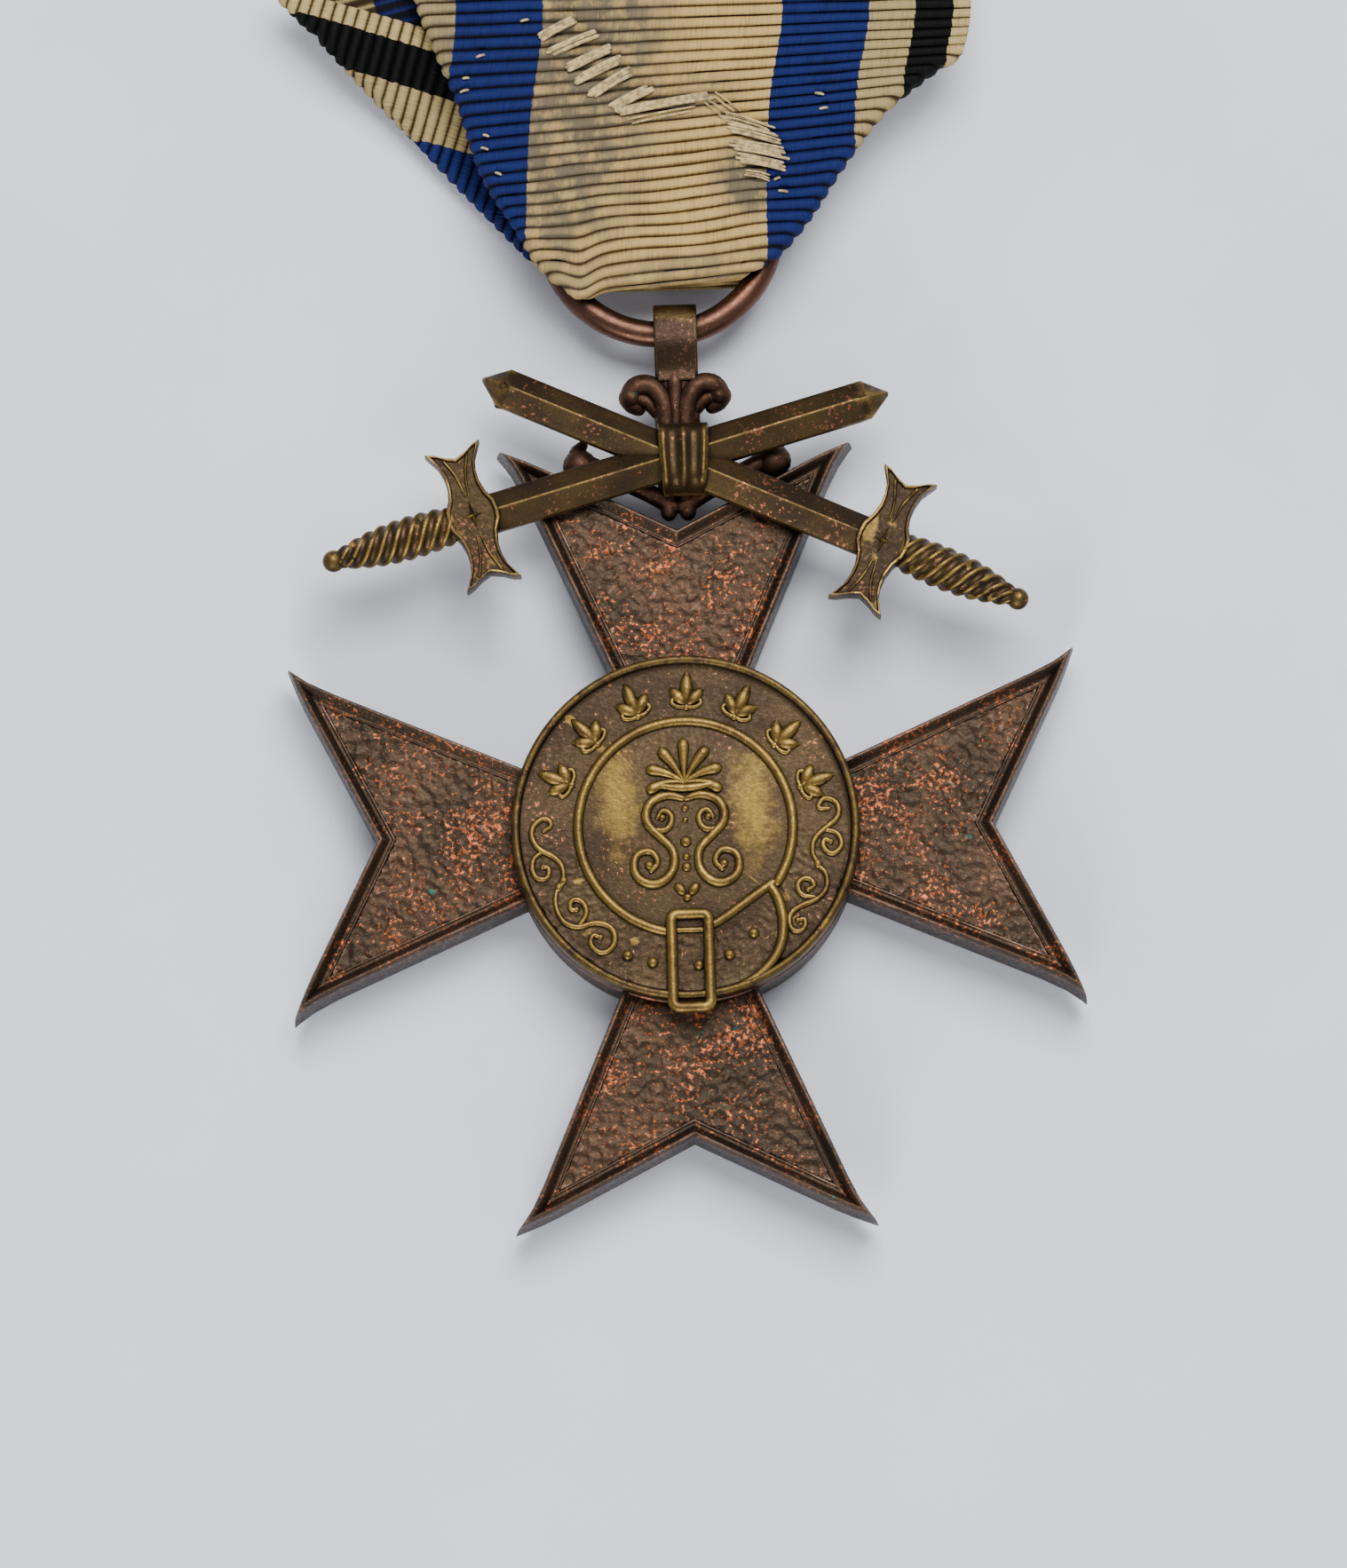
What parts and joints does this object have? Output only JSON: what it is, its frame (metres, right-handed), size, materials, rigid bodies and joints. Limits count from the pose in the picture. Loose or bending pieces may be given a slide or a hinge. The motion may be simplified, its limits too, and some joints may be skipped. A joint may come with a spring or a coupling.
{
  "type": "military service medal",
  "caption": "Forked-arm cross medal with crossed swords, central belt medallion, suspension ring and striped ribbon on a pin brooch.",
  "frame": {"origin": "middle of the rear medallion's boss, on the surface that the medal lies on", "axes": "+Z out of the medal's face, +Y along the cross's axis towards the ribbon, +X to the right as the face is seen"},
  "size_m": [0.0433, 0.0738, 0.0057],
  "materials": {
    "cross_bronze": "patinated bronze, pebbled fields",
    "medallion_brass": "struck bronze, olive-brown patina with rubbed highlights",
    "peg_wire": "drawn brass wire",
    "sword_brass": "struck bronze, rubbed ridges",
    "bracket_copper": "copper-brown bronze",
    "strap_copper": "bent bronze strip, rubbed at the bend",
    "ring_copper": "brown bronze wire",
    "grosgrain": "ribbed silk ribbon, striped",
    "sewing_thread": "cotton sewing thread",
    "brooch_brass": "rolled brass sheet",
    "pin_steel": "drawn steel wire",
    "needle_steel": "polished steel wire"
  },
  "bodies": {
    "cross": {"cross_body": "cross_bronze", "front_medallion": "medallion_brass", "rear_medallion": "medallion_brass", "medallion_pegs": "peg_wire", "sword_lower": "sword_brass", "sword_upper": "sword_brass", "sword_band": "sword_brass", "suspension_bracket": "bracket_copper", "ring_strap": "strap_copper"},
    "ring": {"suspension_ring": "ring_copper"},
    "ribbon": {"ribbon": "grosgrain", "ribbon_stitching": "sewing_thread", "brooch_plate": "brooch_brass", "hinge_ears": "brooch_brass", "hinge_pin": "pin_steel", "needle_catch": "brooch_brass"},
    "needle": {"needle": "needle_steel"}
  },
  "joints": [
    {"name": "ring_swing", "type": "hinge", "parent": "cross", "child": "ring", "pos_m": [0.00025, 0.02715, 0.0027], "axis": [1, 0, 0], "range_deg": [0, 90]},
    {"name": "ribbon_turn", "type": "hinge", "parent": "ring", "child": "ribbon", "pos_m": [-0.00042, 0.033, 0.0027], "axis": [0, 0, 1], "range_deg": [-20, 20]},
    {"name": "needle_opening", "type": "hinge", "parent": "ribbon", "child": "needle", "pos_m": [-0.016, 0.0485, 0.00085], "axis": [0, 1, 0], "range_deg": [0, 60]}
  ]
}
